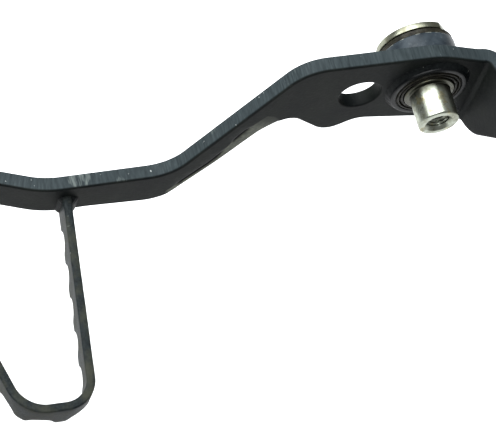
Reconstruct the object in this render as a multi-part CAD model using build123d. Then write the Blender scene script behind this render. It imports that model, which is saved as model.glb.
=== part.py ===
from build123d import *
import os
from math import cos, radians, sin, tan

# Rear brake pedal of a motorcycle, lying as it lies off the bike: the toe loop's teeth point down.
# Frame, in millimetres: the origin is on the pivot axis, in the plane of the lever's outboard face.
# +X points to the rear of the bike, -Y outboard, to the rider's foot, and +Z down once it is fitted.

# Lever: one stamping of flat steel
PLATE_T = 6.0
HEAD_TOP_Z = 20.5
BAR_TOP_Z = -45.2
BAR_BOTTOM_Z = -62.6
ELBOW_BOTTOM_Z = -64.8
ELBOW_R = 17.0
LINK_HOLE_X = -27.3
LINK_HOLE_D = 16.6

# The bar's front end, bent inboard
TIP_JOIN_X = -128.0
TIP_BEND_X = -145.5
TIP_BEND_DEG = 20.0
TIP_BEND_R = 36.0
TIP_LENGTH = 67.0
TIP_CORNER_R = 6.0

# The ear at the rear edge, bent outboard
EAR_JOIN_X = 19.8
EAR_BEND_X = 21.8
EAR_BEND_DEG = 75.0
EAR_BEND_R = 2.0
EAR_LENGTH = 24.0
EAR_TOP_Z = 13.2
EAR_BOTTOM_Z = -29.6
EAR_CORNER_R = 14.0
EAR_TAPER_RUN = 16.0
EAR_TAPER_RISE = 20.4
EAR_TAPER_START_R = 12.0

# Toe loop: a notched strip bent into a loop, its plane rising a little to the front
LOOP_TILT_DEG = 5.5
LOOP_TOP_Z = -64.0
LOOP_WIDTH = 12.5
LOOP_T = 3.4
LOOP_REACH = 86.0
REAR_ROOT_X = -131.6
REAR_CORNER_X = -137.2
FRONT_CORNER_X = -163.6
FRONT_LEAN_DEG = 17.7
REAR_CORNER_R = 11.0
FRONT_CORNER_R = 14.0
REAR_LEG_EXTRA = 3.0
FRONT_LEG_EXTRA = 23.5
FRONT_LEG_DEPTH = 2.9
NOTCH_R = 5.0
NOTCH_DEPTH = 4.0
NOTCH_PITCH = 14.4
NOTCH_COUNT = 14

# Pivot: a tube through the lever, with a bush and two seals, turning on a flanged pin
BOSS_R = 15.2
BOSS_OUTBOARD_Y = -2.5
BOSS_INBOARD_Y = 15.0
BOSS_CHAMFER = 0.4
BUSH_R = 12.2
BUSH_OUTBOARD_Y = 1.2
BUSH_INBOARD_Y = 11.6
SEAL_R = 13.2
SEAL_PROUD = 0.3
SEAL_CHAMFER = 0.5
SEAL_LIP_R = 11.4
SEAL_LIP_GAP = 0.5
SEAL_LIP_DEPTH = 1.6
SEAL_HEAD_R = 14.9
JOURNAL_R = 10.0
RUNNING_CLEARANCE = 0.04
SEAL_CLEARANCE = 0.1
SEAL_FACE_Y = 17.0
FLANGE_R = 15.2
FLANGE_Y = 17.2
FLANGE_T = 2.6
FLANGE_CHAMFER = 0.4
FLANGE_FLAT_R = 13.5
FLANGE_FLAT_DEG = 36.0
SHOULDER_Y = -3.4
SPIGOT_R = 8.0
SPIGOT_END_Y = -16.6
SPIGOT_CHAMFER = 0.6
TAP_DRILL_R = 4.25
THREAD_MOUTH_R = 5.6
THREAD_DEPTH = 25.0
DRILL_POINT = 2.4

# Weld beads
BOSS_WELD_INBOARD = 3.0
BOSS_WELD_OUTBOARD = 1.8
ROOT_WELD_R = 3.2
ROOT_WELD_SHORT = 1.0

# Cutters reach this far past the stock they cut
CUT_SPARE = 20.0


def turned(*points):
    """A solid turned about the pivot axis from a closed outline of (radius, y) points."""
    return revolve(make_face(Polyline(*points, close=True)), Axis.Y)


def bent_strip(join_x, bend_x, way, side, bend_deg, bend_r, length, low_z, high_z):
    """The lever's stock, standing on edge and bent once in plan.

    It runs from join_x along +X or -X (way), and bends at bend_x towards +Y or -Y (side).
    """
    inner_y = PLATE_T if side > 0 else 0.0
    outer_y = PLATE_T - inner_y
    run_x = way * cos(radians(bend_deg))
    run_y = side * sin(radians(bend_deg))
    end = (bend_x + length * run_x, inner_y + length * run_y)
    outer_end = (end[0] + way * side * PLATE_T * run_y, end[1] - way * side * PLATE_T * run_x)
    outer_bend_x = bend_x + way * PLATE_T * tan(radians(bend_deg / 2))
    outline = FilletPolyline(
        (join_x, inner_y),
        (bend_x, inner_y),
        end,
        outer_end,
        (outer_bend_x, outer_y),
        (join_x, outer_y),
        radius=[0, bend_r, 0, 0, bend_r + PLATE_T, 0],
        close=True,
    )
    strip = extrude(Plane.XY.offset(low_z) * make_face(outline), high_z - low_z)
    return strip, end


def round_corners(strip, corners):
    """Rounds corners of a bent strip, each given as (x, y, z, radius)."""
    for x, y, z, radius in corners:
        across = strip.edges().filter_by(lambda edge: abs(edge.length - PLATE_T) < 0.01)
        corner = across.sort_by_distance((x, y, z))[0]
        strip = fillet(corner, radius)
    return strip


def ear_taper(end, back):
    """The wedge that comes off the ear's lower corner, from the ear's end back towards the bend."""
    slope = EAR_TAPER_RISE / EAR_TAPER_RUN
    plane = Plane(origin=(end[0], end[1], EAR_BOTTOM_Z), x_dir=(back[0], back[1], 0), z_dir=(back[1], -back[0], 0))
    wedge = Polyline(
        (-1, -1),
        (EAR_TAPER_RUN + 1 / slope, -1),
        (-1, EAR_TAPER_RISE + slope),
        close=True,
    )
    return extrude(plane * make_face(wedge), 4 * PLATE_T, both=True)


def lever_plate():
    """Head with the pivot and link holes, sloping arm, bar with its bent tip, and the bent ear."""
    outline = FilletPolyline(
        (EAR_JOIN_X, EAR_TOP_Z),
        (1.0, HEAD_TOP_Z),
        (-52.2, HEAD_TOP_Z),
        (-95.7, BAR_TOP_Z),
        (TIP_JOIN_X, BAR_TOP_Z),
        (TIP_JOIN_X, BAR_BOTTOM_Z),
        (-97.2, ELBOW_BOTTOM_Z),
        (-53.9, -9.2),
        (-36.6, -25.2),
        (-24.5, -18.0),
        (0.0, -22.6),
        (EAR_JOIN_X, EAR_BOTTOM_Z),
        radius=[0, 30, ELBOW_R, ELBOW_R, 0, 0, ELBOW_R, 6, 8, 10, 40, 0],
        close=True,
    )
    flat = extrude(Plane.XZ.offset(-PLATE_T) * make_face(outline), PLATE_T)
    tip, tip_end = bent_strip(
        TIP_JOIN_X, TIP_BEND_X, -1, 1, TIP_BEND_DEG, TIP_BEND_R, TIP_LENGTH, BAR_BOTTOM_Z, BAR_TOP_Z
    )
    ear, ear_end = bent_strip(
        EAR_JOIN_X, EAR_BEND_X, 1, -1, EAR_BEND_DEG, EAR_BEND_R, EAR_LENGTH, EAR_BOTTOM_Z, EAR_TOP_Z
    )
    tip = round_corners(tip, ((*tip_end[:2], BAR_BOTTOM_Z, TIP_CORNER_R), (*tip_end[:2], BAR_TOP_Z, TIP_CORNER_R)))
    end_x, end_y = ear_end[:2]
    back_x = -cos(radians(EAR_BEND_DEG))
    back_y = sin(radians(EAR_BEND_DEG))
    ear -= ear_taper((end_x, end_y), (back_x, back_y))
    ear = round_corners(
        ear,
        (
            (end_x + back_x * EAR_TAPER_RUN, end_y + back_y * EAR_TAPER_RUN, EAR_BOTTOM_Z, EAR_TAPER_START_R),
            (end_x, end_y, EAR_BOTTOM_Z + EAR_TAPER_RISE, EAR_CORNER_R),
            (end_x, end_y, EAR_TOP_Z, EAR_CORNER_R),
        ),
    )
    link_hole = Pos(LINK_HOLE_X, 0, 0) * Rot(X=90) * Cylinder(LINK_HOLE_D / 2, 4 * PLATE_T)
    pivot_hole = Rot(X=90) * Cylinder(BOSS_R, 4 * PLATE_T)
    return flat + tip + ear - link_hole - pivot_hole


def loop_path():
    """The loop's middle line in plan, from inside the bar at its rear leg to inside the bar's tip."""
    lean = tan(radians(FRONT_LEAN_DEG))
    splay = (REAR_ROOT_X - REAR_CORNER_X) / LOOP_REACH
    return FilletPolyline(
        (REAR_ROOT_X + REAR_LEG_EXTRA * splay, REAR_LEG_EXTRA),
        (REAR_CORNER_X, -LOOP_REACH),
        (FRONT_CORNER_X, -LOOP_REACH),
        (FRONT_CORNER_X - lean * (LOOP_REACH + FRONT_LEG_EXTRA), FRONT_LEG_EXTRA),
        radius=[REAR_CORNER_R, FRONT_CORNER_R],
    )


def loop_notch(path, distance):
    """A round cutter across the strip's lower edge, at a distance along the loop."""
    along = path.tangent_at(distance, position_mode=PositionMode.LENGTH)
    at = path.position_at(distance, position_mode=PositionMode.LENGTH)
    across = Vector(-along.Y, along.X, 0)
    centre = at + Vector(0, 0, LOOP_TOP_Z - LOOP_WIDTH + NOTCH_DEPTH - NOTCH_R)
    return Plane(origin=centre, z_dir=across) * Cylinder(NOTCH_R, 3 * LOOP_T)


def bar_blank():
    """The bar and its bent tip, taller than they are, which trims what is welded to them."""
    low_z = BAR_BOTTOM_Z - CUT_SPARE
    high_z = BAR_TOP_Z + CUT_SPARE
    flat = Pos(TIP_JOIN_X, 0, low_z) * Box(
        CUT_SPARE, PLATE_T, high_z - low_z, align=(Align.MIN, Align.MIN, Align.MIN)
    )
    tip, _ = bent_strip(
        TIP_JOIN_X, TIP_BEND_X, -1, 1, TIP_BEND_DEG, TIP_BEND_R, TIP_LENGTH, low_z, high_z
    )
    return flat + tip


def toe_loop():
    path = loop_path()
    middle = LOOP_TOP_Z - LOOP_WIDTH / 2
    start = path.position_at(0)
    section_plane = Plane(origin=start, x_dir=(0, 0, 1), z_dir=path.tangent_at(0))
    strip = sweep(section_plane * Rectangle(LOOP_WIDTH, LOOP_T), path)
    strip = Pos(0, 0, middle) * strip
    for i in range(1, NOTCH_COUNT + 1):
        strip -= loop_notch(path, REAR_LEG_EXTRA + i * NOTCH_PITCH)
    return Rot(Y=LOOP_TILT_DEG) * strip - bar_blank()


def root_weld(root, rear_side):
    """A bead in the corner between a leg of the loop and the bar, on one face of the leg.

    The front leg meets the bar at a slant, so its rear face reaches the bar sooner than its front face.
    """
    path = loop_path()
    at_end = 0 if root == "rear" else 1
    along = path.tangent_at(at_end)
    into_bar = -along if root == "rear" else along
    depth = REAR_LEG_EXTRA
    if root == "front":
        slant = LOOP_T / 2 * tan(radians(TIP_BEND_DEG + FRONT_LEAN_DEG))
        depth = FRONT_LEG_DEPTH + (slant if rear_side else -slant)
    leg_face = Vector(-into_bar.Y, into_bar.X, 0) * (LOOP_T / 2)
    if (leg_face.X > 0) != rear_side:
        leg_face = -leg_face
    corner = path.position_at(at_end) - into_bar * depth + leg_face
    middle = LOOP_TOP_Z - LOOP_WIDTH / 2
    bead = Pos(corner.X, corner.Y, middle) * Cylinder(ROOT_WELD_R, LOOP_WIDTH - ROOT_WELD_SHORT)
    return Rot(Y=LOOP_TILT_DEG) * bead - bar_blank()


def pivot_boss():
    return turned(
        (SEAL_R, BOSS_OUTBOARD_Y),
        (BOSS_R - BOSS_CHAMFER, BOSS_OUTBOARD_Y),
        (BOSS_R, BOSS_OUTBOARD_Y + BOSS_CHAMFER),
        (BOSS_R, BOSS_INBOARD_Y - BOSS_CHAMFER),
        (BOSS_R - BOSS_CHAMFER, BOSS_INBOARD_Y),
        (SEAL_R, BOSS_INBOARD_Y),
        (SEAL_R, BUSH_INBOARD_Y),
        (BUSH_R, BUSH_INBOARD_Y),
        (BUSH_R, BUSH_OUTBOARD_Y),
        (SEAL_R, BUSH_OUTBOARD_Y),
    )


def pivot_bush():
    inner = JOURNAL_R + RUNNING_CLEARANCE
    return turned(
        (inner, BUSH_OUTBOARD_Y),
        (BUSH_R, BUSH_OUTBOARD_Y),
        (BUSH_R, BUSH_INBOARD_Y),
        (inner, BUSH_INBOARD_Y),
    )


def seal_outboard():
    """A rubber ring pressed into the tube's mouth, with a groove behind its lip."""
    inner = JOURNAL_R + SEAL_CLEARANCE
    face_y = BOSS_OUTBOARD_Y - SEAL_PROUD
    groove_y = face_y + SEAL_LIP_DEPTH
    return turned(
        (inner, BUSH_OUTBOARD_Y),
        (SEAL_R, BUSH_OUTBOARD_Y),
        (SEAL_R, BOSS_OUTBOARD_Y),
        (SEAL_R - SEAL_CHAMFER, face_y),
        (SEAL_LIP_R + SEAL_LIP_GAP, face_y),
        (SEAL_LIP_R + SEAL_LIP_GAP, groove_y),
        (SEAL_LIP_R, groove_y),
        (SEAL_LIP_R, face_y),
        (inner, face_y),
    )


def seal_inboard():
    """A rubber ring with a wide head, filling the space between the tube's end and the flange."""
    inner = JOURNAL_R + SEAL_CLEARANCE
    return turned(
        (inner, BUSH_INBOARD_Y),
        (SEAL_R, BUSH_INBOARD_Y),
        (SEAL_R, BOSS_INBOARD_Y),
        (SEAL_HEAD_R, BOSS_INBOARD_Y),
        (SEAL_HEAD_R, SEAL_FACE_Y),
        (inner, SEAL_FACE_Y),
    )


def pivot_pin():
    """Flange with its flat, journal and spigot in one, with a blind threaded hole in the spigot's end."""
    flange_end = FLANGE_Y + FLANGE_T
    mouth_y = SPIGOT_END_Y + THREAD_MOUTH_R - TAP_DRILL_R
    thread_end = SPIGOT_END_Y + THREAD_DEPTH
    pin = turned(
        (0, flange_end),
        (FLANGE_R - FLANGE_CHAMFER, flange_end),
        (FLANGE_R, flange_end - FLANGE_CHAMFER),
        (FLANGE_R, FLANGE_Y),
        (JOURNAL_R, FLANGE_Y),
        (JOURNAL_R, SHOULDER_Y),
        (SPIGOT_R, SHOULDER_Y),
        (SPIGOT_R, SPIGOT_END_Y + SPIGOT_CHAMFER),
        (SPIGOT_R - SPIGOT_CHAMFER, SPIGOT_END_Y),
        (THREAD_MOUTH_R, SPIGOT_END_Y),
        (TAP_DRILL_R, mouth_y),
        (TAP_DRILL_R, thread_end),
        (0, thread_end + DRILL_POINT),
    )
    past_flat = Pos(FLANGE_FLAT_R, FLANGE_Y, 0) * Box(
        CUT_SPARE, CUT_SPARE, 2 * CUT_SPARE, align=(Align.MIN, Align.MIN, Align.CENTER)
    )
    return pin - Rot(Y=-FLANGE_FLAT_DEG) * past_flat


def boss_weld(face_y, leg):
    """A ring of weld between the tube and one face of the lever; leg is negative outboard."""
    return turned((BOSS_R, face_y), (BOSS_R + abs(leg), face_y), (BOSS_R, face_y + leg))


def main():
    os.makedirs("parts", exist_ok=True)
    loop = toe_loop()
    parts = {
        "lever_plate": lever_plate(),
        "toe_loop": loop,
        "pivot_boss": pivot_boss(),
        "pivot_bush": pivot_bush(),
        "seal_outboard": seal_outboard(),
        "seal_inboard": seal_inboard(),
        "pivot_pin": pivot_pin(),
        "boss_weld_inboard": boss_weld(PLATE_T, BOSS_WELD_INBOARD),
        "boss_weld_outboard": boss_weld(0.0, -BOSS_WELD_OUTBOARD),
    }
    for root in ("rear", "front"):
        parts[root + "_root_weld_rear_side"] = root_weld(root, True) - loop
        parts[root + "_root_weld_front_side"] = root_weld(root, False) - loop
    for name, part in parts.items():
        export_step(part, "parts/" + name + ".step")


main()
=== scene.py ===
"""Rear brake pedal of a motorcycle: the pieces that show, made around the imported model.

Sizes are in millimetres and become metres when a mesh is made. The frame is the model's own: the origin is
on the pivot axis in the lever's outboard face, +X to the rear of the bike, -Y outboard, and +Z down once the
pedal is fitted.
"""

import bmesh
import bpy
import numpy as np
from math import cos, pi, radians, sin, tan
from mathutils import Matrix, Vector
from mathutils.geometry import delaunay_2d_cdt


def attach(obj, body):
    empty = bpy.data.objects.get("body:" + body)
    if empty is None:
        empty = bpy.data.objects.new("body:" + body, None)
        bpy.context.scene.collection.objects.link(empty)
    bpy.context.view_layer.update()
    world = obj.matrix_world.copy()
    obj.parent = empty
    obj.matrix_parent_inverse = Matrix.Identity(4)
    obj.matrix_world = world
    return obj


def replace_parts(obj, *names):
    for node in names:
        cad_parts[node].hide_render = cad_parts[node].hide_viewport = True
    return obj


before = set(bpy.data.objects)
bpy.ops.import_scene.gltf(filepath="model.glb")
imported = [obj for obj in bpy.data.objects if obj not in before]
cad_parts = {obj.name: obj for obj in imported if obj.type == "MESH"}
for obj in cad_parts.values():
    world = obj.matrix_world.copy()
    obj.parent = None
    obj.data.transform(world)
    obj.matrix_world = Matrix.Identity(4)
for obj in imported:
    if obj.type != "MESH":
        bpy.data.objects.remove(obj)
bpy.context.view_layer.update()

MM = 0.001
SHARP_DEG = 38.0
ARC_SPACING = 0.3
OUTLINE_SPACING = 0.7
LOOP_SPACING = 0.45

# Lever: the stamping's outline on the flat stock, as (x, z, corner radius)
PLATE_T = 6.0
HEAD_TOP_Z = 20.5
BAR_TOP_Z = -45.2
BAR_BOTTOM_Z = -62.6
EAR_TOP_Z = 13.2
EAR_BOTTOM_Z = -29.6
EAR_TAPER_RUN = 16.0
EAR_TAPER_RISE = 20.4
ELBOW_R = 17.0
ARM_TOP = (-53.9, -9.2)
ARM_FOOT = (-97.2, -64.8)
LINK_HOLE_X = -27.3
LINK_HOLE_R = 8.3

# The bends: where each starts, how far it turns, its radius at the outboard face, and the straight run after
TIP_BEND_X = -139.15
TIP_BEND = radians(20.0)
TIP_BEND_R = 42.0
TIP_RUN = 60.65
EAR_BEND_X = 20.27
EAR_BEND = radians(75.0)
EAR_BEND_R = 2.0
EAR_RUN = 22.46
EAR_MIDDLE_R = EAR_BEND_R + PLATE_T / 2
TIP_END_X = TIP_BEND_X - TIP_BEND_R * TIP_BEND - TIP_RUN
EAR_END_X = EAR_BEND_X + EAR_MIDDLE_R * EAR_BEND + EAR_RUN
LEVER_OUTLINE = (
    (TIP_END_X, BAR_TOP_Z, 6),
    (-95.7, BAR_TOP_Z, ELBOW_R),
    (-52.2, HEAD_TOP_Z, ELBOW_R),
    (1.0, HEAD_TOP_Z, 30),
    (19.8, EAR_TOP_Z, 16),
    (EAR_END_X, EAR_TOP_Z, 14),
    (EAR_END_X, EAR_BOTTOM_Z + EAR_TAPER_RISE, 14),
    (EAR_END_X - EAR_TAPER_RUN, EAR_BOTTOM_Z, 12),
    (19.8, EAR_BOTTOM_Z, 16),
    (0.0, -22.6, 40),
    (-24.5, -18.0, 10),
    (-36.6, -25.2, 8),
    (*ARM_TOP, 6),
    (*ARM_FOOT, ELBOW_R),
    (-128.0, BAR_BOTTOM_Z, 40),
    (TIP_END_X, BAR_BOTTOM_Z, 6),
)
ROLLED_EDGE_R = 1.0
BURR_EDGE_R = 0.35
HOLE_RIM_R = 0.6
EDGE_MARGIN = 1.6
ROLL_SLOPE = radians(10.0)
ROLL_WIDTH = 3.6
ROLL_EXTRA_WIDTH = 4.6
CREASE_DEPTH = 0.6
CREASE_HALF_WIDTH = 0.8
CREASE_OFFSET = 0.4

# Toe loop, in its own level plane before it is tilted
LOOP_TILT = radians(5.5)
LOOP_TOP_Z = -64.0
LOOP_WIDTH = 12.5
LOOP_T = 3.4
LOOP_EDGE_R = 0.75
LOOP_REACH = 86.0
REAR_ROOT_X = -131.6
REAR_CORNER_X = -137.2
FRONT_CORNER_X = -163.6
FRONT_LEAN = radians(17.7)
REAR_CORNER_R = 11.0
FRONT_CORNER_R = 14.0
REAR_LEG_EXTRA = 3.0
FRONT_LEG_EXTRA = 23.5
FRONT_LEG_DEPTH = 2.9
NOTCH_R = 5.0
NOTCH_DEPTH = 4.0
NOTCH_PITCH = 14.4
NOTCH_COUNT = 14

# Pivot
BOSS_R = 15.2
BOSS_OUTBOARD_Y = -2.5
BOSS_INBOARD_Y = 15.0
BUSH_R = 12.2
BUSH_OUTBOARD_Y = 1.2
BUSH_INBOARD_Y = 11.6
SEAL_R = 13.2
SEAL_HEAD_R = 14.9
SEAL_BORE_R = 10.1
JOURNAL_R = 10.0
BUSH_BORE_R = JOURNAL_R + 0.04
SEAL_FACE_Y = 17.0
FLANGE_R = 15.2
FLANGE_Y = 17.2
FLANGE_END_Y = 19.8
FLANGE_FLAT_R = 13.5
FLANGE_FLAT = radians(36.0)
SHOULDER_Y = -3.4
SPIGOT_R = 8.0
SPIGOT_END_Y = -16.6
TAP_DRILL_R = 4.25
THREAD_MOUTH_R = 5.6
THREAD_END_Y = 8.4
THREAD_PITCH = 1.5
THREAD_HEIGHT = 0.75
DRILL_POINT_Y = 10.8

# Welds
BOSS_WELD_INBOARD = 3.0
BOSS_WELD_OUTBOARD = 1.8
ROOT_WELD_LEG = 3.4
ROOT_WELD_SMALL_LEG = 1.9
WELD_RIPPLE = 1.6
WELD_BURIED = 0.4
ROOT_WELD_POWER = 1.7
BOSS_WELD_POWER = 1.9

# Studio
FLOOR_Z = -140.0
WORLD_STRENGTH = 0.35
OVERHEAD_WATTS = 44.0
OVERHEAD_SIZE = 1.3
OVERHEAD_AT = (-0.4, 0.3, 0.95)
OVERHEAD_AIM = (-0.08, 0.0, -0.02)
CAMERA_LENS = 115.237
CAMERA_AT = (-0.21859, -0.28202, 0.50156)
CAMERA_TURN = (radians(27.157), radians(-8.811), radians(-13.389))


# ------------------------------------------------------------------ lines and surfaces


def rounded(corners, closed):
    """A line through the corners (u, v, radius): each arc starts radius * tan(turn / 2) before its corner."""
    corners = np.array(corners, float)
    at = corners[:, :2]
    into = at - np.roll(at, 1, axis=0)
    into /= np.linalg.norm(into, axis=1)[:, None]
    out = np.roll(into, -1, axis=0)
    lines = []
    for corner, radius, before, after in zip(at, corners[:, 2], into, out):
        turn = np.arctan2(before[0] * after[1] - before[1] * after[0], before @ after)
        if radius == 0 or abs(turn) < 1e-6:
            lines.append(corner[None])
            continue
        side = np.array([-before[1], before[0]]) * np.sign(turn)
        angle = np.linspace(0, abs(turn), max(4, int(radius * abs(turn) / ARC_SPACING)))[:, None]
        start = corner - before * radius * tan(abs(turn) / 2)
        lines.append(start + before * radius * np.sin(angle) + side * radius * (1 - np.cos(angle)))
    if not closed:
        lines[0], lines[-1] = at[:1], at[-1:]
    return np.concatenate(lines)


def evenly(line, spacing, closed=False):
    """Points at equal distances along a line, and how far along each one is."""
    if closed:
        line = np.concatenate([line, line[:1]])
    far = np.concatenate([[0], np.cumsum(np.linalg.norm(np.diff(line, axis=0), axis=1))])
    count = int(round(far[-1] / spacing))
    at = np.linspace(0, far[-1], count + 1)
    at = at[:-1] if closed else at
    return np.stack([np.interp(at, far, line[:, i]) for i in range(2)], axis=1), at


def left_of(line, closed):
    """The unit normal to the left of a line at each point."""
    if closed:
        along = np.roll(line, -1, axis=0) - np.roll(line, 1, axis=0)
    else:
        along = np.gradient(line, axis=0)
    along /= np.linalg.norm(along, axis=1)[:, None]
    return np.stack([-along[:, 1], along[:, 0]], axis=1)


def quads(rows, cols, wrap_rows, wrap_cols, first=0):
    """The faces of a grid of points numbered row by row from first, joined round where it wraps."""
    row = np.arange(rows if wrap_rows else rows - 1)[:, None]
    col = np.arange(cols if wrap_cols else cols - 1)[None, :]
    row_up, col_up = (row + 1) % rows, (col + 1) % cols
    ring = [row * cols + col, row * cols + col_up, row_up * cols + col_up, row_up * cols + col]
    return (first + np.stack(np.broadcast_arrays(*ring), axis=-1).reshape(-1, 4)).tolist()


def step(low, high, value):
    """0 below low, 1 above high, and a smooth rise between."""
    t = np.clip((value - low) / (high - low), 0, 1)
    return t * t * (3 - 2 * t)


def unevenness(seed, *coordinates, waves=7):
    """A smooth irregular value from -1 to 1: a mean of sine waves of random direction and phase."""
    random = np.random.default_rng(seed)
    total = 0
    for _ in range(waves):
        pull = random.normal(size=len(coordinates))
        total = total + np.sin(sum(p * c for p, c in zip(pull, coordinates)) + random.uniform(0, 2 * pi))
    return total / waves


def make_piece(name, body, material, points, faces, marks=None):
    """A closed mesh from points in millimetres, its doubled points merged and its faces turned outwards."""
    mesh = bpy.data.meshes.new(name)
    mesh.from_pydata((points.reshape(-1, 3) * MM).tolist(), [], faces)
    for mark, values in (marks or {}).items():
        kind = "FLOAT" if values.ndim == 1 else "FLOAT_VECTOR"
        layer = mesh.attributes.new(mark, kind, "POINT")
        layer.data.foreach_set("value" if kind == "FLOAT" else "vector", values.ravel())
    shell = bmesh.new()
    shell.from_mesh(mesh)
    bmesh.ops.remove_doubles(shell, verts=shell.verts, dist=1e-7)
    bmesh.ops.recalc_face_normals(shell, faces=shell.faces)
    shell.to_mesh(mesh)
    shell.free()
    mesh.polygons.foreach_set("use_smooth", np.ones(len(mesh.polygons), bool))
    mesh.set_sharp_from_angle(angle=radians(SHARP_DEG))
    mesh.materials.append(material)
    piece = bpy.data.objects.new(name, mesh)
    bpy.context.scene.collection.objects.link(piece)
    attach(piece, body)
    return piece


# ------------------------------------------------------------------ materials


def linear(hex_colour):
    """An sRGB hex colour as linear red, green and blue, and 1."""
    srgb = np.array([int(hex_colour[i:i + 2], 16) for i in (0, 2, 4)]) / 255
    value = np.where(srgb <= 0.04045, srgb / 12.92, ((srgb + 0.055) / 1.055) ** 2.4)
    return (*value.tolist(), 1.0)


def node(tree, kind, inputs=None, output=0, **settings):
    """Adds a node with its settings and its inputs, each a socket to link or a value; returns one output."""
    added = tree.nodes.new("ShaderNode" + kind)
    for key, value in settings.items():
        setattr(added, key, value)
    for key, value in (inputs or {}).items():
        if isinstance(value, bpy.types.NodeSocket):
            tree.links.new(value, added.inputs[key])
        else:
            added.inputs[key].default_value = value
    return added.outputs[output] if added.outputs else None


def per_metre(size_mm):
    """The noise scale whose lumps are about this many millimetres across."""
    return 1 / (size_mm * MM)


def new_finish(name):
    """An empty material, its node tree, and the coordinates of the piece itself."""
    material = bpy.data.materials.new(name)
    material.use_nodes = True
    material.node_tree.nodes.clear()
    return material, material.node_tree, node(material.node_tree, "TexCoord", output="Object")


def spread(tree, under, over, pattern, low, high, most=1.0):
    """One colour over another: none where the pattern is below low, and up to most where it is above high."""
    share = {"Value": pattern, "From Min": low, "From Max": high, "To Max": most}
    amount = node(tree, "MapRange", share)
    return node(tree, "Mix", {0: amount, 6: under, 7: over}, 2, data_type="RGBA")


def surface(tree, metallic, specular, colour, gloss, roughness, relief, depth_mm):
    """The shader: gloss, from 0 to 1, picks between two roughnesses, and relief is a height pattern."""
    span = {"Value": gloss, "From Min": 0.3, "From Max": 0.7, "To Min": roughness[0], "To Max": roughness[1]}
    bump = node(tree, "Bump", {"Height": relief, "Strength": 0.5, "Distance": depth_mm * MM})
    shader = {
        "Base Color": colour,
        "Metallic": metallic,
        "Specular IOR Level": specular,
        "Roughness": node(tree, "MapRange", span),
        "Normal": bump,
    }
    node(tree, "OutputMaterial", {"Surface": node(tree, "BsdfPrincipled", shader)})


def coated_stamping():
    """Black cathodic dip coating on a steel stamping.

    Its faces are satin and dusty. The facet rolled under the arm's lower edge is painted lighter, a painted
    reflection of the pale floor, and the crease along it is painted near black as shade. On its sheared edges
    the shear marks show through as streaks across the thickness, their blue-grey tone is partly painted light
    from the overhead lamp, and the coating is rubbed thin in places and chipped to the steel in a few small
    spots.
    """
    material, tree, _ = new_finish("black_dip_coated_stamping")
    stock = node(tree, "Attribute", None, "Vector", attribute_name="stock")
    cut = node(tree, "Attribute", None, "Fac", attribute_name="cut")
    roll = node(tree, "Attribute", None, "Fac", attribute_name="roll")
    crease = node(tree, "Attribute", None, "Fac", attribute_name="crease")
    cloud = node(tree, "TexNoise", {"Vector": stock, "Scale": per_metre(16), "Detail": 3.0})
    peel = node(tree, "TexNoise", {"Vector": stock, "Scale": per_metre(1.2), "Detail": 2.0})
    dust = node(tree, "TexNoise", {"Vector": stock, "Scale": per_metre(2.2), "Detail": 6.0, "Roughness": 0.7})
    face = spread(tree, linear("0c0f10"), linear("151816"), cloud, 0.35, 0.65)
    face = spread(tree, face, linear("2a2d29"), dust, 0.55, 0.75, 0.5)
    # painted reflection: the facet rolled under the arm's lower edge is painted lighter and warmer, as if lit
    # by the pale floor
    roll_painted_reflection = spread(tree, linear("343731"), linear("5a5d51"), dust, 0.35, 0.65)
    face = spread(tree, face, roll_painted_reflection, roll, 0.0, 1.0)
    # painted shade: the crease along the rolled facet is painted near black
    face = spread(tree, face, linear("050606"), crease, 0.1, 0.6)
    across = node(tree, "Mapping", {"Vector": stock, "Scale": (1.0, 0.12, 1.0)})
    streak = node(
        tree, "TexNoise", {"Vector": across, "Scale": per_metre(0.8), "Detail": 3.0, "Roughness": 0.6}
    )
    patch = node(tree, "TexNoise", {"Vector": across, "Scale": per_metre(5), "Detail": 3.0, "Roughness": 0.6})
    worn = node(tree, "TexNoise", {"Vector": stock, "Scale": per_metre(14), "Detail": 1.0})
    rubbed = node(tree, "MapRange", {"Value": worn, "From Min": 0.56, "From Max": 0.7})
    rubbed = node(tree, "Math", {0: rubbed, 1: streak}, operation="MULTIPLY")
    chip = node(tree, "TexNoise", {"Vector": stock, "Scale": per_metre(1.3), "Detail": 1.0})
    # painted light, in part: the edges' blue-grey, lighter than the faces, stands for the cool overhead lamp
    # on them; streaks, rubbed patches and chips are shear marks and wear
    edge = spread(tree, linear("1f2527"), linear("333a3c"), streak, 0.3, 0.7)
    edge = spread(tree, edge, linear("282f31"), patch, 0.4, 0.65, 0.6)
    edge = spread(tree, edge, linear("545b59"), rubbed, 0.4, 0.7)
    edge = spread(tree, edge, linear("8e9391"), chip, 0.765, 0.78)
    colour = spread(tree, face, edge, cut, 0.0, 1.0)
    relief = node(tree, "Mix", {0: cut, 2: peel, 3: streak})
    surface(tree, 0.0, 0.04, colour, dust, (0.42, 0.55), relief, 0.1)
    return material


def coated_strip():
    """The same coating on hot-rolled strip, whose scale leaves a coarse grain, with a film of dried mud."""
    material, tree, place = new_finish("black_dip_coated_strip")
    grain = node(
        tree, "TexNoise", {"Vector": place, "Scale": per_metre(0.9), "Detail": 5.0, "Roughness": 0.7}
    )
    film = node(tree, "TexNoise", {"Vector": place, "Scale": per_metre(7), "Detail": 4.0, "Roughness": 0.6})
    speck = node(tree, "TexNoise", {"Vector": place, "Scale": per_metre(1.4), "Detail": 2.0})
    colour = spread(tree, linear("0f1314"), linear("222728"), grain, 0.35, 0.66)
    colour = spread(tree, colour, linear("33342c"), film, 0.42, 0.66, 0.8)
    colour = spread(tree, colour, linear("6e736f"), speck, 0.72, 0.78, 0.7)
    surface(tree, 0.0, 0.05, colour, film, (0.42, 0.6), grain, 0.15)
    return material


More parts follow.
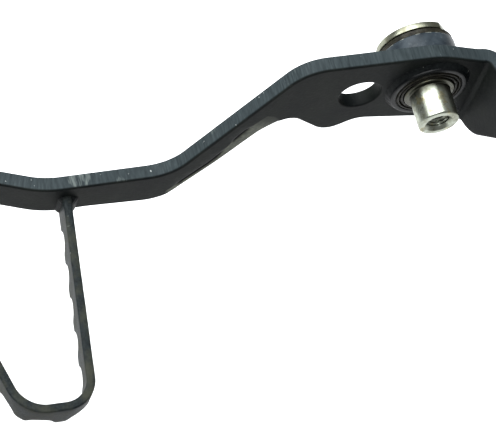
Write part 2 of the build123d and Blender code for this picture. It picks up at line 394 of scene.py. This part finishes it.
def coated_tube():
    """The same coating on tube made on a draw bench: smoother and glossier, scuffed pale along its inboard
    rim.
    Its tone, lighter than the stamping's, is partly a painted highlight, and its outboard end is painted
    nearly black as shade.
    """
    material, tree, place = new_finish("black_dip_coated_tube")
    scuff = node(
        tree, "TexNoise", {"Vector": place, "Scale": per_metre(1.6), "Detail": 5.0, "Roughness": 0.7}
    )
    cloud = node(tree, "TexNoise", {"Vector": place, "Scale": per_metre(6), "Detail": 3.0})
    along = node(tree, "SeparateXYZ", {0: place}, "Y")
    span = {"From Min": (BOSS_INBOARD_Y - 0.9) * MM, "From Max": (BOSS_INBOARD_Y - 0.2) * MM}
    at_rim = node(tree, "MapRange", {"Value": along, **span})
    rim_scuff = node(tree, "Math", {0: at_rim, 1: scuff}, operation="MULTIPLY")
    # painted shade: from 6 mm inboard out to its outboard end the tube fades to nearly black
    outboard_painted_shade = node(tree, "MapRange", {"Value": along, "From Min": 6 * MM, "From Max": 0.0})
    # painted highlight, in part: the tube's tone is lighter than the stamping's faces
    colour = spread(tree, linear("1b2126"), linear("30373c"), cloud, 0.35, 0.65)
    colour = spread(tree, colour, linear("565c5d"), scuff, 0.58, 0.74, 0.6)
    colour = spread(tree, colour, linear("96988e"), rim_scuff, 0.45, 0.6)
    colour = spread(tree, colour, linear("090b0c"), outboard_painted_shade, 0.0, 1.0)
    surface(tree, 0.0, 0.1, colour, scuff, (0.26, 0.42), scuff, 0.05)
    return material


def coated_weld():
    """Weld metal under the coating: fine scale between the ripples, and a few bright spots of spatter."""
    material, tree, place = new_finish("black_dip_coated_weld")
    scale = node(
        tree, "TexNoise", {"Vector": place, "Scale": per_metre(1.0), "Detail": 4.0, "Roughness": 0.6}
    )
    spatter = node(tree, "TexNoise", {"Vector": place, "Scale": per_metre(1.5), "Detail": 1.0})
    colour = spread(tree, linear("0a0c0d"), linear("151818"), scale, 0.35, 0.65)
    colour = spread(tree, colour, linear("7b7d74"), spatter, 0.76, 0.78)
    surface(tree, 0.0, 0.05, colour, scale, (0.34, 0.52), scale, 0.12)
    return material


def zinc_plate():
    """Bright zinc on turned steel: fine turning lines, yellow passivation, grey-brown tarnish.

    The turning lines are coarser than real ones so that they show. From the spigot's root to the flange the
    zinc
    is darker: on the spigot's root a painted reflection of the dark lever, and between the seals grease. The
    flange is duller than the spigot.
    """
    material, tree, place = new_finish("zinc_plated_turned_steel")
    round_it = node(tree, "Mapping", {"Vector": place, "Scale": (0.06, 1.0, 0.06)})
    lines = node(tree, "TexNoise", {"Vector": round_it, "Scale": per_metre(0.45), "Detail": 3.0})
    stain = node(tree, "TexNoise", {"Vector": place, "Scale": per_metre(5), "Detail": 3.0, "Roughness": 0.6})
    tarnish = node(
        tree, "TexNoise", {"Vector": place, "Scale": per_metre(3), "Detail": 5.0, "Roughness": 0.65}
    )
    along = node(tree, "SeparateXYZ", {0: place}, "Y")
    past_spigot = node(tree, "MapRange", {"Value": along, "From Min": -7.5 * MM, "From Max": -3.9 * MM})
    off_flange = node(tree, "MapRange", {"Value": along, "From Min": 17.2 * MM, "From Max": 16.8 * MM})
    on_flange = node(tree, "MapRange", {"Value": along, "From Min": 16.8 * MM, "From Max": 17.2 * MM})
    # painted reflection: the spigot's root is darkened as if it mirrored the dark lever; between the seals
    # the same darkening stands for grease
    between = node(tree, "Math", {0: past_spigot, 1: off_flange}, operation="MULTIPLY")
    colour = spread(tree, linear("989d91"), linear("8f8250"), stain, 0.57, 0.66, 0.55)
    colour = spread(tree, colour, linear("6b6a5a"), tarnish, 0.46, 0.66, 0.85)
    colour = spread(tree, colour, linear("5f5e4c"), on_flange, 0.0, 1.0, 0.6)
    colour = spread(tree, colour, linear("2f2e26"), between, 0.0, 1.0, 0.9)
    surface(tree, 1.0, 0.5, colour, tarnish, (0.25, 0.42), lines, 0.03)
    return material


def greasy_rubber():
    """Nitrile rubber with old grease on it: dark olive-brown, shiny where wet and matt where dusty."""
    material, tree, place = new_finish("greasy_nitrile_rubber")
    grease = node(tree, "TexNoise", {"Vector": place, "Scale": per_metre(3), "Detail": 4.0, "Roughness": 0.6})
    dirt = node(tree, "TexNoise", {"Vector": place, "Scale": per_metre(0.9), "Detail": 4.0, "Roughness": 0.7})
    colour = spread(tree, linear("0e0d0a"), linear("201f18"), grease, 0.38, 0.62)
    colour = spread(tree, colour, linear("35322a"), dirt, 0.5, 0.72, 0.7)
    surface(tree, 0.0, 0.1, colour, grease, (0.6, 0.35), dirt, 0.15)
    return material


def sintered_bronze():
    """Sintered bronze: a warm dull metal with oil in its fine pores."""
    material, tree, place = new_finish("sintered_bronze")
    pores = node(tree, "TexNoise", {"Vector": place, "Scale": per_metre(0.5), "Detail": 2.0})
    colour = spread(tree, linear("6d5230"), linear("b08a55"), pores, 0.35, 0.6)
    surface(tree, 1.0, 0.5, colour, pores, (0.55, 0.4), pores, 0.05)
    return material


def sweep_paper():
    """Matt white background paper."""
    material, tree, place = new_finish("white_sweep_paper")
    fibre = node(tree, "TexNoise", {"Vector": place, "Scale": per_metre(25), "Detail": 2.0})
    colour = spread(tree, linear("f4f4f3"), linear("f8f8f8"), fibre, 0.3, 0.7)
    surface(tree, 0.0, 0.05, colour, fibre, (0.85, 0.95), fibre, 0.02)
    return material


# ------------------------------------------------------------------ the lever


def bent(stock):
    """Points of the flat stock, put round the tip's and the ear's bends.

    Past the start of a bend the stock turns by its length over the bend's radius, up to the whole bend, and
    then runs straight. A point at a depth under the outboard face keeps that depth, across the stock.
    """
    along, depth, z = stock[..., 0], stock[..., 1], stock[..., 2]
    tip = np.maximum(TIP_BEND_X - along, 0)
    tip_turn = np.minimum(tip / TIP_BEND_R, TIP_BEND)
    tip_run = tip - tip_turn * TIP_BEND_R
    ear = np.maximum(along - EAR_BEND_X, 0)
    ear_turn = np.minimum(ear / EAR_MIDDLE_R, EAR_BEND)
    ear_run = ear - ear_turn * EAR_MIDDLE_R
    tip_r = TIP_BEND_R - depth
    ear_r = EAR_BEND_R + depth
    x = np.clip(along, TIP_BEND_X, EAR_BEND_X)
    x = x - tip_r * np.sin(tip_turn) - tip_run * np.cos(tip_turn)
    x = x + ear_r * np.sin(ear_turn) + ear_run * np.cos(ear_turn)
    y = depth + tip_r * (1 - np.cos(tip_turn)) + tip_run * np.sin(tip_turn)
    y = y - ear_r * (1 - np.cos(ear_turn)) - ear_run * np.sin(ear_turn)
    return np.stack([x, y, z], axis=-1)


def roll_under_arm(at, outward):
    """How the punch rolled the arm's lower edge: the roll's width, its slope, and its crease's depth.

    All three are 0 except on the arm's lower edge, where the outline faces down at right angles to the arm.
    The width grows from the bar to the head, the slope fades at both ends, and the crease is deep in two
    stretches.
    """
    run, rise = np.subtract(ARM_TOP, ARM_FOOT)
    below_arm = np.array([rise, -run]) / np.hypot(rise, run)
    lower = step(0.9, 0.985, outward @ below_arm)
    x = at[:, 0]
    width = ROLL_WIDTH + ROLL_EXTRA_WIDTH * step(-80, -62, x)
    slope = tan(ROLL_SLOPE) * step(-100, -90, x) * (1 - step(-64, -54, x))
    long_stretch = step(-92, -88, x) * (1 - step(-76, -71, x))
    short_stretch = step(-70, -67, x) * (1 - step(-64, -61, x))
    crease = CREASE_DEPTH * (long_stretch + short_stretch)
    return lower * width, lower * slope, lower * crease


def in_crease(past):
    """1 in the middle of the crease, falling off to both sides; past is how far past the roll's border."""
    return np.exp(-(((past + CREASE_OFFSET) / CREASE_HALF_WIDTH) ** 2))


def lever_edge(at, outward, along):
    """The stamping's edge, carried round its outline: rows of (inset, depth), from the outboard face inwards.

    From the face it falls along the roll under the arm, if there is one, then round the rolled corner,
    straight down the sheared wall, and round the small burr corner to the inboard face.
    """
    width, slope, crease = roll_under_arm(at, outward)
    width = np.maximum(width, EDGE_MARGIN)[:, None]
    slope, crease = slope[:, None], crease[:, None]
    beside = np.array([0.9, 0.6, 0.3, 0.0, -0.3, -0.55])
    down = np.array([0.9, 0.75, 0.55, 0.3])
    near = width + beside
    middle = ROLLED_EDGE_R + (width - 0.55 - ROLLED_EDGE_R) * down
    turn = np.linspace(0, pi / 2, 7)
    corner = ROLLED_EDGE_R * (1 - np.sin(turn)) + 0 * width
    inset = np.concatenate([near, middle, corner], axis=1)
    depth = slope * np.maximum(width - inset, 0)
    depth += crease * in_crease(inset - width)
    depth += ROLLED_EDGE_R - np.sqrt(ROLLED_EDGE_R ** 2 - np.maximum(ROLLED_EDGE_R - inset, 0) ** 2)
    edge_depth = depth[:, -1:]
    wall = edge_depth + (PLATE_T - BURR_EDGE_R - edge_depth) * np.array([0.2, 0.4, 0.6, 0.8, 1.0])
    rough = 0.05 * unevenness(3, along[:, None] * 1.3, wall * 0.35) + 0.05
    turn = np.linspace(0, pi / 2, 5)[1:]
    burr_inset = BURR_EDGE_R * (1 - np.cos(turn)) + rough[:, -1:]
    burr_depth = PLATE_T - BURR_EDGE_R * (1 - np.sin(turn)) + 0 * width
    far_inset = BURR_EDGE_R + 1.2 + 0 * width
    inset = np.concatenate([inset, rough, burr_inset, far_inset], axis=1)
    depth = np.concatenate([depth, wall, burr_depth, PLATE_T + 0 * width], axis=1)
    past_roll = step(0.35, 0.95, depth - edge_depth + ROLLED_EDGE_R)
    cut = past_roll * (1 - step(PLATE_T - 0.25, PLATE_T - 0.05, depth))
    outboard = (1 - cut) * (depth < PLATE_T / 2)
    # roll steers only colour: the rolled facet's painted reflection of the floor
    roll = outboard * slope / tan(ROLL_SLOPE) * step(0.1, -0.5, inset - width)
    # this crease mark steers only colour: the crease's painted shade
    dark = outboard * crease / CREASE_DEPTH * in_crease(inset - width)
    return inset, depth, {"cut": cut, "roll": roll, "crease": dark}


def hole_edge(centre_x, radius, segments):
    """A round hole through the plate: rows of points down its wall, with both its rims rounded."""
    turn = np.linspace(0, pi / 2, 5)
    outboard_r, inboard_r = HOLE_RIM_R, BURR_EDGE_R
    r = [[0.9], outboard_r * (1 - np.sin(turn)), inboard_r * (1 - np.cos(turn)), [0.8]]
    depth = [[0.0], outboard_r * (1 - np.cos(turn)), PLATE_T - inboard_r * (1 - np.sin(turn)), [PLATE_T]]
    r, depth = radius + np.concatenate(r), np.concatenate(depth)
    around = np.linspace(0, 2 * pi, segments, endpoint=False)[:, None]
    return np.stack([centre_x + r * np.cos(around), depth + 0 * around, r * np.sin(around)], axis=-1)


def inside(points, ring):
    """Which points lie inside a closed ring: those with an odd number of its sides straight above them."""
    start, end = ring[None], np.roll(ring, -1, axis=0)[None]
    x, z = points[:, None, 0], points[:, None, 1]
    spans = (start[..., 0] > x) != (end[..., 0] > x)
    run = np.where(spans, end[..., 0] - start[..., 0], 1)
    height = start[..., 1] + (end[..., 1] - start[..., 1]) * (x - start[..., 0]) / run
    return (spans & (height > z)).sum(axis=1) % 2 == 1


def face_fill(ring, holes, clear):
    """Triangles that fill a face between its ring and its holes, and the inner points that they use.

    The inner points are a net, 2.5 to 3 mm apart and closer across the bends, clear of the ring and holes.
    """
    tip_end = TIP_BEND_X - TIP_BEND_R * TIP_BEND
    ear_end = EAR_BEND_X + EAR_MIDDLE_R * EAR_BEND
    columns = np.concatenate([
        np.arange(TIP_END_X, tip_end, 3.0),
        np.linspace(tip_end, TIP_BEND_X, 13),
        np.arange(TIP_BEND_X + 3.0, EAR_BEND_X - 1.0, 3.0),
        np.linspace(EAR_BEND_X, ear_end, 17),
        np.arange(ear_end + 2.0, EAR_END_X, 2.5),
    ])
    levels = np.arange(-66.0, 22.0, 2.6)
    net = np.stack(np.meshgrid(columns, levels, indexing="ij"), axis=-1).reshape(-1, 2)
    rims = np.concatenate([ring, *holes])
    away = np.linalg.norm(net[:, None] - rims[None], axis=-1).min(axis=1)
    keep = inside(net, ring) & (away > clear)
    for hole in holes:
        keep &= ~inside(net, hole)
    net = net[keep]
    points = np.concatenate([rims, net])
    starts = np.cumsum([0, len(ring), *[len(hole) for hole in holes]])
    loops = [np.arange(a, b) for a, b in zip(starts, starts[1:])]
    sides = np.concatenate([np.stack([loop, np.roll(loop, -1)], axis=1) for loop in loops])
    made = delaunay_2d_cdt(points.tolist(), sides.tolist(), [], 1, 1e-6)
    triangles = np.array(made[2])
    middles = points[triangles].mean(axis=1)
    kept = np.ones(len(triangles), bool)
    for hole in holes:
        kept &= ~inside(middles, hole)
    return net, triangles[kept]


def lever(material):
    """The stamping: its edge carried round the outline, the holes' walls, and two filled faces, then bent."""
    at, along = evenly(rounded(LEVER_OUTLINE, True), OUTLINE_SPACING, True)
    outward = left_of(at, True)
    inset, depth, shades = lever_edge(at, outward, along)
    rows, cols = inset.shape
    edge = at[:, None] - outward[:, None] * inset[..., None]
    edge = np.stack([edge[..., 0], depth, edge[..., 1]], axis=-1)
    walls = [hole_edge(LINK_HOLE_X, LINK_HOLE_R, 96), hole_edge(0.0, BOSS_R + 0.02, 96)]
    stock = [edge.reshape(-1, 3)]
    faces = quads(rows, cols, True, False)
    loops = [(np.arange(rows) * cols, np.arange(rows) * cols + cols - 1)]
    count = rows * cols
    for wall in walls:
        around, deep = wall.shape[:2]
        faces += quads(around, deep, True, False, count)
        loops.append((count + np.arange(around) * deep, count + np.arange(around) * deep + deep - 1))
        stock.append(wall.reshape(-1, 3))
        count += around * deep
    for side, y in ((0, 0.0), (1, PLATE_T)):
        points = np.concatenate(stock)
        rings = [points[loop[side]][:, [0, 2]] for loop in loops]
        net, triangles = face_fill(rings[0], rings[1:], 1.0)
        number = np.concatenate([*[loop[side] for loop in loops], count + np.arange(len(net))])
        faces += number[triangles].tolist()
        stock.append(np.stack([net[:, 0], np.full(len(net), y), net[:, 1]], axis=-1))
        count += len(net)
    stock = np.concatenate(stock)
    marks = {"stock": stock * MM}
    for mark, shade in shades.items():
        marks[mark] = np.zeros(len(stock))
        marks[mark][:rows * cols] = shade.ravel()
    return make_piece("lever", "lever", material, bent(stock), faces, marks)


# ------------------------------------------------------------------ the toe loop and its welds


def loop_line():
    """The loop's middle line in its plane, and how far along each point is."""
    lean = tan(FRONT_LEAN)
    splay = (REAR_ROOT_X - REAR_CORNER_X) / LOOP_REACH
    line = rounded(
        (
            (REAR_ROOT_X + REAR_LEG_EXTRA * splay, REAR_LEG_EXTRA, 0),
            (REAR_CORNER_X, -LOOP_REACH, REAR_CORNER_R),
            (FRONT_CORNER_X, -LOOP_REACH, FRONT_CORNER_R),
            (FRONT_CORNER_X - lean * (LOOP_REACH + FRONT_LEG_EXTRA), FRONT_LEG_EXTRA, 0),
        ),
        False,
    )
    return evenly(line, LOOP_SPACING)


def tilted(points):
    """Points of the loop's level plane, tilted about the Y axis so that its front rises."""
    x, y, z = points[..., 0], points[..., 1], points[..., 2]
    c, s = cos(LOOP_TILT), sin(LOOP_TILT)
    return np.stack([x * c + z * s, y, z * c - x * s], axis=-1)


def toe_loop(material):
    """The strip: a rounded section carried along the loop, its lower edge cut up by the notches.

    A notch is an arc of the cutter's radius, as deep as the notch at its middle, and the teeth between are
    rounded by a running mean.
    """
    line, far = loop_line()
    across = left_of(line, False)
    centres = REAR_LEG_EXTRA + NOTCH_PITCH * np.arange(1, NOTCH_COUNT + 1)
    off = np.abs(far[:, None] - centres).min(axis=1)
    cut = np.sqrt(np.maximum(NOTCH_R ** 2 - off ** 2, 0)) - (NOTCH_R - NOTCH_DEPTH)
    cut = np.maximum(cut, 0)
    blur = np.hanning(7) / np.hanning(7).sum()
    cut = np.convolve(np.pad(cut, 3, mode="edge"), blur, mode="valid")
    turn = np.linspace(0, pi / 2, 5)
    half, r = LOOP_T / 2, LOOP_EDGE_R
    side_x, side_h = half - r + r * np.sin(turn), r - r * np.cos(turn)
    rise = np.array([0.2, 0.4, 0.6, 0.8])
    width = (LOOP_WIDTH - cut)[:, None]
    low, high = side_h + 0 * width, width - side_h[::-1]
    flank = r + (width - 2 * r) * rise
    height = np.concatenate([low, flank, high], axis=1)
    x = np.concatenate([side_x, np.full(4, half), side_x[::-1]])
    x = np.concatenate([x, -x[::-1]])
    height = np.concatenate([height, height[:, ::-1]], axis=1)
    sway = 0.08 * unevenness(11, far[:, None] * 0.35, height * 0.3)
    z = LOOP_TOP_Z - width + height
    ring = line[:, None] + across[:, None] * (x + sway)[..., None]
    points = np.stack([ring[..., 0], ring[..., 1], z], axis=-1)
    rows, cols = z.shape
    faces = quads(rows, cols, False, True)
    faces += [list(range(cols)), list(range((rows - 1) * cols, rows * cols))]
    return make_piece("toothed_loop", "lever", material, tilted(points), faces)


def bead_section(power):
    """A weld's face for legs of 1, from toe to toe: a power of 1 makes it round, and a power of 2 flat."""
    turn = np.linspace(0, pi / 2, 11)
    return np.cos(turn) ** power, np.sin(turn) ** power, turn


def root_weld(name, root, rear_side, material):
    """A bead up the corner between a leg of the loop and the bar, rippled, and tapered at both its ends."""
    line, _ = loop_line()
    end, beyond = (line[0], line[1]) if root == "rear" else (line[-1], line[-2])
    outwards = (beyond - end) / np.linalg.norm(beyond - end)
    leg_side = np.array([-outwards[1], outwards[0]])
    leg_side = leg_side if (leg_side[0] > 0) == rear_side else -leg_side
    bar = np.array([1.0, 0.0])
    depth = REAR_LEG_EXTRA
    if root == "front":
        bar = np.array([cos(TIP_BEND), -sin(TIP_BEND)])
        slant = LOOP_T / 2 * tan(TIP_BEND + FRONT_LEAN)
        depth = FRONT_LEG_DEPTH + (slant if rear_side else -slant)
    bar = bar if rear_side else -bar
    corner = end + outwards * depth + leg_side * LOOP_T / 2
    z = np.linspace(-LOOP_WIDTH + 0.4, -0.4, 90)[:, None]
    taper = np.sqrt(np.clip(1 - np.abs(2 * (z + LOOP_WIDTH / 2) / (LOOP_WIDTH - 0.6)) ** 6, 0, 1))
    a, b, turn = bead_section(ROOT_WELD_POWER)
    ripple = np.abs(np.sin(pi * z / WELD_RIPPLE + 0.9 * np.cos(2 * turn)))
    full = ROOT_WELD_LEG if rear_side else ROOT_WELD_SMALL_LEG
    leg = full * taper * (0.9 + 0.07 * ripple + 0.06 * unevenness(5 + len(name), z * 0.8))
    up_leg = np.concatenate([a * leg, -WELD_BURIED + 0 * z, -WELD_BURIED + 0 * z], axis=1)
    up_bar = np.concatenate([b * leg, 0 * z + ROOT_WELD_LEG * 0.2, -WELD_BURIED + 0 * z], axis=1)
    up_bar[:, 0] -= WELD_BURIED
    up_leg[:, len(turn) - 1] -= WELD_BURIED
    plan = corner + up_leg[..., None] * outwards + up_bar[..., None] * bar
    points = np.stack([plan[..., 0], plan[..., 1], LOOP_TOP_Z + z + 0 * up_leg], axis=-1)
    rows, cols = up_leg.shape
    faces = quads(rows, cols, False, True)
    faces += [list(range(cols)), list(range((rows - 1) * cols, rows * cols))]
    return make_piece(name, "lever", material, tilted(points), faces)


def boss_weld(name, face_y, side, leg, material):
    """A ring of weld round the tube, its toes wandering a little, with crescent ripples."""
    around = np.linspace(0, 2 * pi, 420, endpoint=False)[:, None]
    out, up, turn = bead_section(BOSS_WELD_POWER)
    ripple = np.abs(np.sin(BOSS_R * around / WELD_RIPPLE * pi * 0.5 + 1.1 * np.cos(2 * turn)))
    size = leg * (0.88 + 0.06 * ripple + 0.06 * unevenness(21, np.cos(around) * 5, np.sin(around) * 5))
    r = BOSS_R + out * size
    y = face_y + side * up * size
    corner_r = np.full_like(around, BOSS_R - WELD_BURIED)
    r = np.concatenate([r, corner_r, corner_r], axis=1)
    y = np.concatenate([y, y[:, -1:], face_y - side * 0.3 + 0 * around], axis=1)
    points = np.stack([r * np.cos(around), y, r * np.sin(around)], axis=-1)
    return make_piece(name, "lever", material, points, quads(*r.shape, True, True))


# ------------------------------------------------------------------ the pivot


def turned(name, body, material, corners, segments=192):
    """A ring turned about the pivot axis from a closed outline of (radius, y, corner radius)."""
    outline = rounded(corners, True)
    around = np.linspace(0, 2 * pi, segments, endpoint=False)[:, None]
    r, y = outline[:, 0], outline[:, 1]
    points = np.stack([r * np.cos(around), y + 0 * around, r * np.sin(around)], axis=-1)
    return make_piece(name, body, material, points, quads(segments, len(r), True, True))


def pivot_pin(material):
    """Flange, journal and spigot, turned from one outline that starts and ends on the axis.

    The radius is held inside the flange's flat: flat distance over the cosine of the angle from it. In the
    threaded hole the radius rises and falls once a pitch, and the rise goes round with the angle.
    """
    corners = (
        (0, FLANGE_END_Y, 0),
        (FLANGE_R, FLANGE_END_Y, 0.45),
        (FLANGE_R, FLANGE_Y, 0.3),
        (JOURNAL_R, FLANGE_Y, 0),
        (JOURNAL_R, SHOULDER_Y, 0.5),
        (SPIGOT_R, SHOULDER_Y, 0.25),
        (SPIGOT_R, SPIGOT_END_Y, 0.7),
        (THREAD_MOUTH_R, SPIGOT_END_Y, 0.2),
        (TAP_DRILL_R + 0.1, SPIGOT_END_Y + 1.3, 0),
    )
    outline = rounded(corners, False)
    thread_y = np.arange(SPIGOT_END_Y + 1.5, THREAD_END_Y, THREAD_PITCH / 8)
    thread = np.stack([np.full(len(thread_y), TAP_DRILL_R), thread_y], axis=1)
    outline = np.concatenate([outline, thread, [[TAP_DRILL_R, THREAD_END_Y + 0.2], [0, DRILL_POINT_Y]]])
    half_flat = np.arccos(FLANGE_FLAT_R / FLANGE_R)
    around = np.concatenate([
        np.linspace(-half_flat, half_flat, 32, endpoint=False),
        np.linspace(half_flat, 2 * pi - half_flat, 176, endpoint=False),
    ])[:, None]
    r, y = outline[:, 0] + 0 * around, outline[:, 1] + 0 * around
    flat = (r - FLANGE_R + FLANGE_FLAT_R) / np.maximum(np.cos(around), 0.01)
    r = np.where((r > JOURNAL_R + 1) & (np.cos(around) > 0), np.minimum(r, flat), r)
    in_thread = (outline[:, 0] == TAP_DRILL_R) & (outline[:, 1] < THREAD_END_Y)
    rise = np.abs((y / THREAD_PITCH + around / (2 * pi)) % 1 - 0.5) * 2
    r = np.where(in_thread, r + THREAD_HEIGHT * rise * step(0, 1.5, y - SPIGOT_END_Y - 1.2), r)
    angle = around + FLANGE_FLAT
    points = np.stack([r * np.cos(angle), y, r * np.sin(angle)], axis=-1)
    faces = quads(*r.shape, True, False)
    return make_piece("turned_pin", "pin", material, points, faces)


def pivot_rings(tube, rubber, bronze):
    """The tube through the head, the bush pressed into it, and the seals at both its ends."""
    boss = (
        (SEAL_R, BOSS_OUTBOARD_Y, 0.3),
        (BOSS_R, BOSS_OUTBOARD_Y, 0.5),
        (BOSS_R, BOSS_INBOARD_Y, 0.5),
        (SEAL_R, BOSS_INBOARD_Y, 0.3),
        (SEAL_R, BUSH_INBOARD_Y, 0),
        (BUSH_R, BUSH_INBOARD_Y, 0),
        (BUSH_R, BUSH_OUTBOARD_Y, 0),
        (SEAL_R, BUSH_OUTBOARD_Y, 0),
    )
    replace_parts(turned("boss_tube", "lever", tube, boss), "pivot_boss")
    bush = (
        (BUSH_BORE_R, BUSH_OUTBOARD_Y, 0.2),
        (BUSH_R, BUSH_OUTBOARD_Y, 0.3),
        (BUSH_R, BUSH_INBOARD_Y, 0.3),
        (BUSH_BORE_R, BUSH_INBOARD_Y, 0.2),
    )
    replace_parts(turned("bush", "lever", bronze, bush), "pivot_bush")
    face_y = BOSS_OUTBOARD_Y - 0.3
    lips = (
        (SEAL_BORE_R, BUSH_OUTBOARD_Y, 0),
        (SEAL_R, BUSH_OUTBOARD_Y, 0),
        (SEAL_R, BOSS_OUTBOARD_Y + 0.5, 0.2),
        (12.75, BOSS_OUTBOARD_Y + 0.6, 0.15),
        (12.6, face_y + 0.1, 0.2),
        (11.95, face_y, 0.2),
        (11.85, face_y + 1.4, 0.1),
        (11.35, face_y + 1.4, 0.1),
        (11.25, face_y, 0.3),
        (SEAL_BORE_R, face_y + 0.1, 0.5),
    )
    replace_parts(turned("outboard_seal", "lever", rubber, lips), "seal_outboard")
    head = (
        (SEAL_BORE_R, BUSH_INBOARD_Y, 0),
        (SEAL_R, BUSH_INBOARD_Y, 0),
        (SEAL_R, BOSS_INBOARD_Y, 0),
        (SEAL_HEAD_R, BOSS_INBOARD_Y, 0.2),
        (SEAL_HEAD_R - 0.25, (BOSS_INBOARD_Y + SEAL_FACE_Y) / 2, 0.4),
        (SEAL_HEAD_R, SEAL_FACE_Y, 0.2),
        (SEAL_BORE_R, SEAL_FACE_Y, 0.3),
    )
    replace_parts(turned("inboard_seal", "lever", rubber, head), "seal_inboard")


# ------------------------------------------------------------------ the studio


def sweep(material):
    """A flat white floor under the pedal, wide enough to fill the view from any side."""
    half, z = 3.0, FLOOR_Z * MM
    mesh = bpy.data.meshes.new("floor")
    corners = [(-half, -half, z), (half, -half, z), (half, half, z), (-half, half, z)]
    mesh.from_pydata(corners, [], [(0, 1, 2, 3)])
    mesh.materials.append(material)
    floor = bpy.data.objects.new("floor", mesh)
    bpy.context.scene.collection.objects.link(floor)


def softbox(name, at, aim, size, watts, tint):
    """A square area light, pointed from one place at another."""
    light = bpy.data.lights.new(name, "AREA")
    light.size = size
    light.energy = watts
    light.color = linear(tint)[:3]
    lamp = bpy.data.objects.new(name, light)
    lamp.location = at
    lamp.rotation_euler = (at - aim).to_track_quat("Z", "Y").to_euler()
    bpy.context.scene.collection.objects.link(lamp)


def studio():
    """Even grey surroundings, one wide soft light overhead, inboard and to the front, and the camera."""
    scene = bpy.context.scene
    scene.view_settings.view_transform = "Standard"
    world = bpy.data.worlds.new("studio")
    world.use_nodes = True
    world.node_tree.nodes["Background"].inputs["Color"].default_value = linear("eff0f0")
    world.node_tree.nodes["Background"].inputs["Strength"].default_value = WORLD_STRENGTH
    scene.world = world
    softbox("overhead", Vector(OVERHEAD_AT), Vector(OVERHEAD_AIM), OVERHEAD_SIZE, OVERHEAD_WATTS, "fbfdff")
    camera = bpy.data.cameras.new("camera")
    camera.lens = CAMERA_LENS
    camera.sensor_width = 36.0
    camera.clip_start = 0.01
    eye = bpy.data.objects.new("camera", camera)
    eye.location = CAMERA_AT
    eye.rotation_euler = CAMERA_TURN
    scene.collection.objects.link(eye)
    scene.camera = eye


studio()
sweep(sweep_paper())
stamping, strip, tube = coated_stamping(), coated_strip(), coated_tube()
weld, zinc, rubber, bronze = coated_weld(), zinc_plate(), greasy_rubber(), sintered_bronze()
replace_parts(lever(stamping), "lever_plate")
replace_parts(toe_loop(strip), "toe_loop")
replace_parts(pivot_pin(zinc), "pivot_pin")
pivot_rings(tube, rubber, bronze)
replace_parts(boss_weld("boss_bead_inboard", PLATE_T, 1, BOSS_WELD_INBOARD, weld), "boss_weld_inboard")
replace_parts(boss_weld("boss_bead_outboard", 0.0, -1, BOSS_WELD_OUTBOARD, weld), "boss_weld_outboard")
for root in ("rear", "front"):
    for side, rear_side in (("rear_side", True), ("front_side", False)):
        bead = root_weld(root + "_root_bead_" + side, root, rear_side, weld)
        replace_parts(bead, root + "_root_weld_" + side)
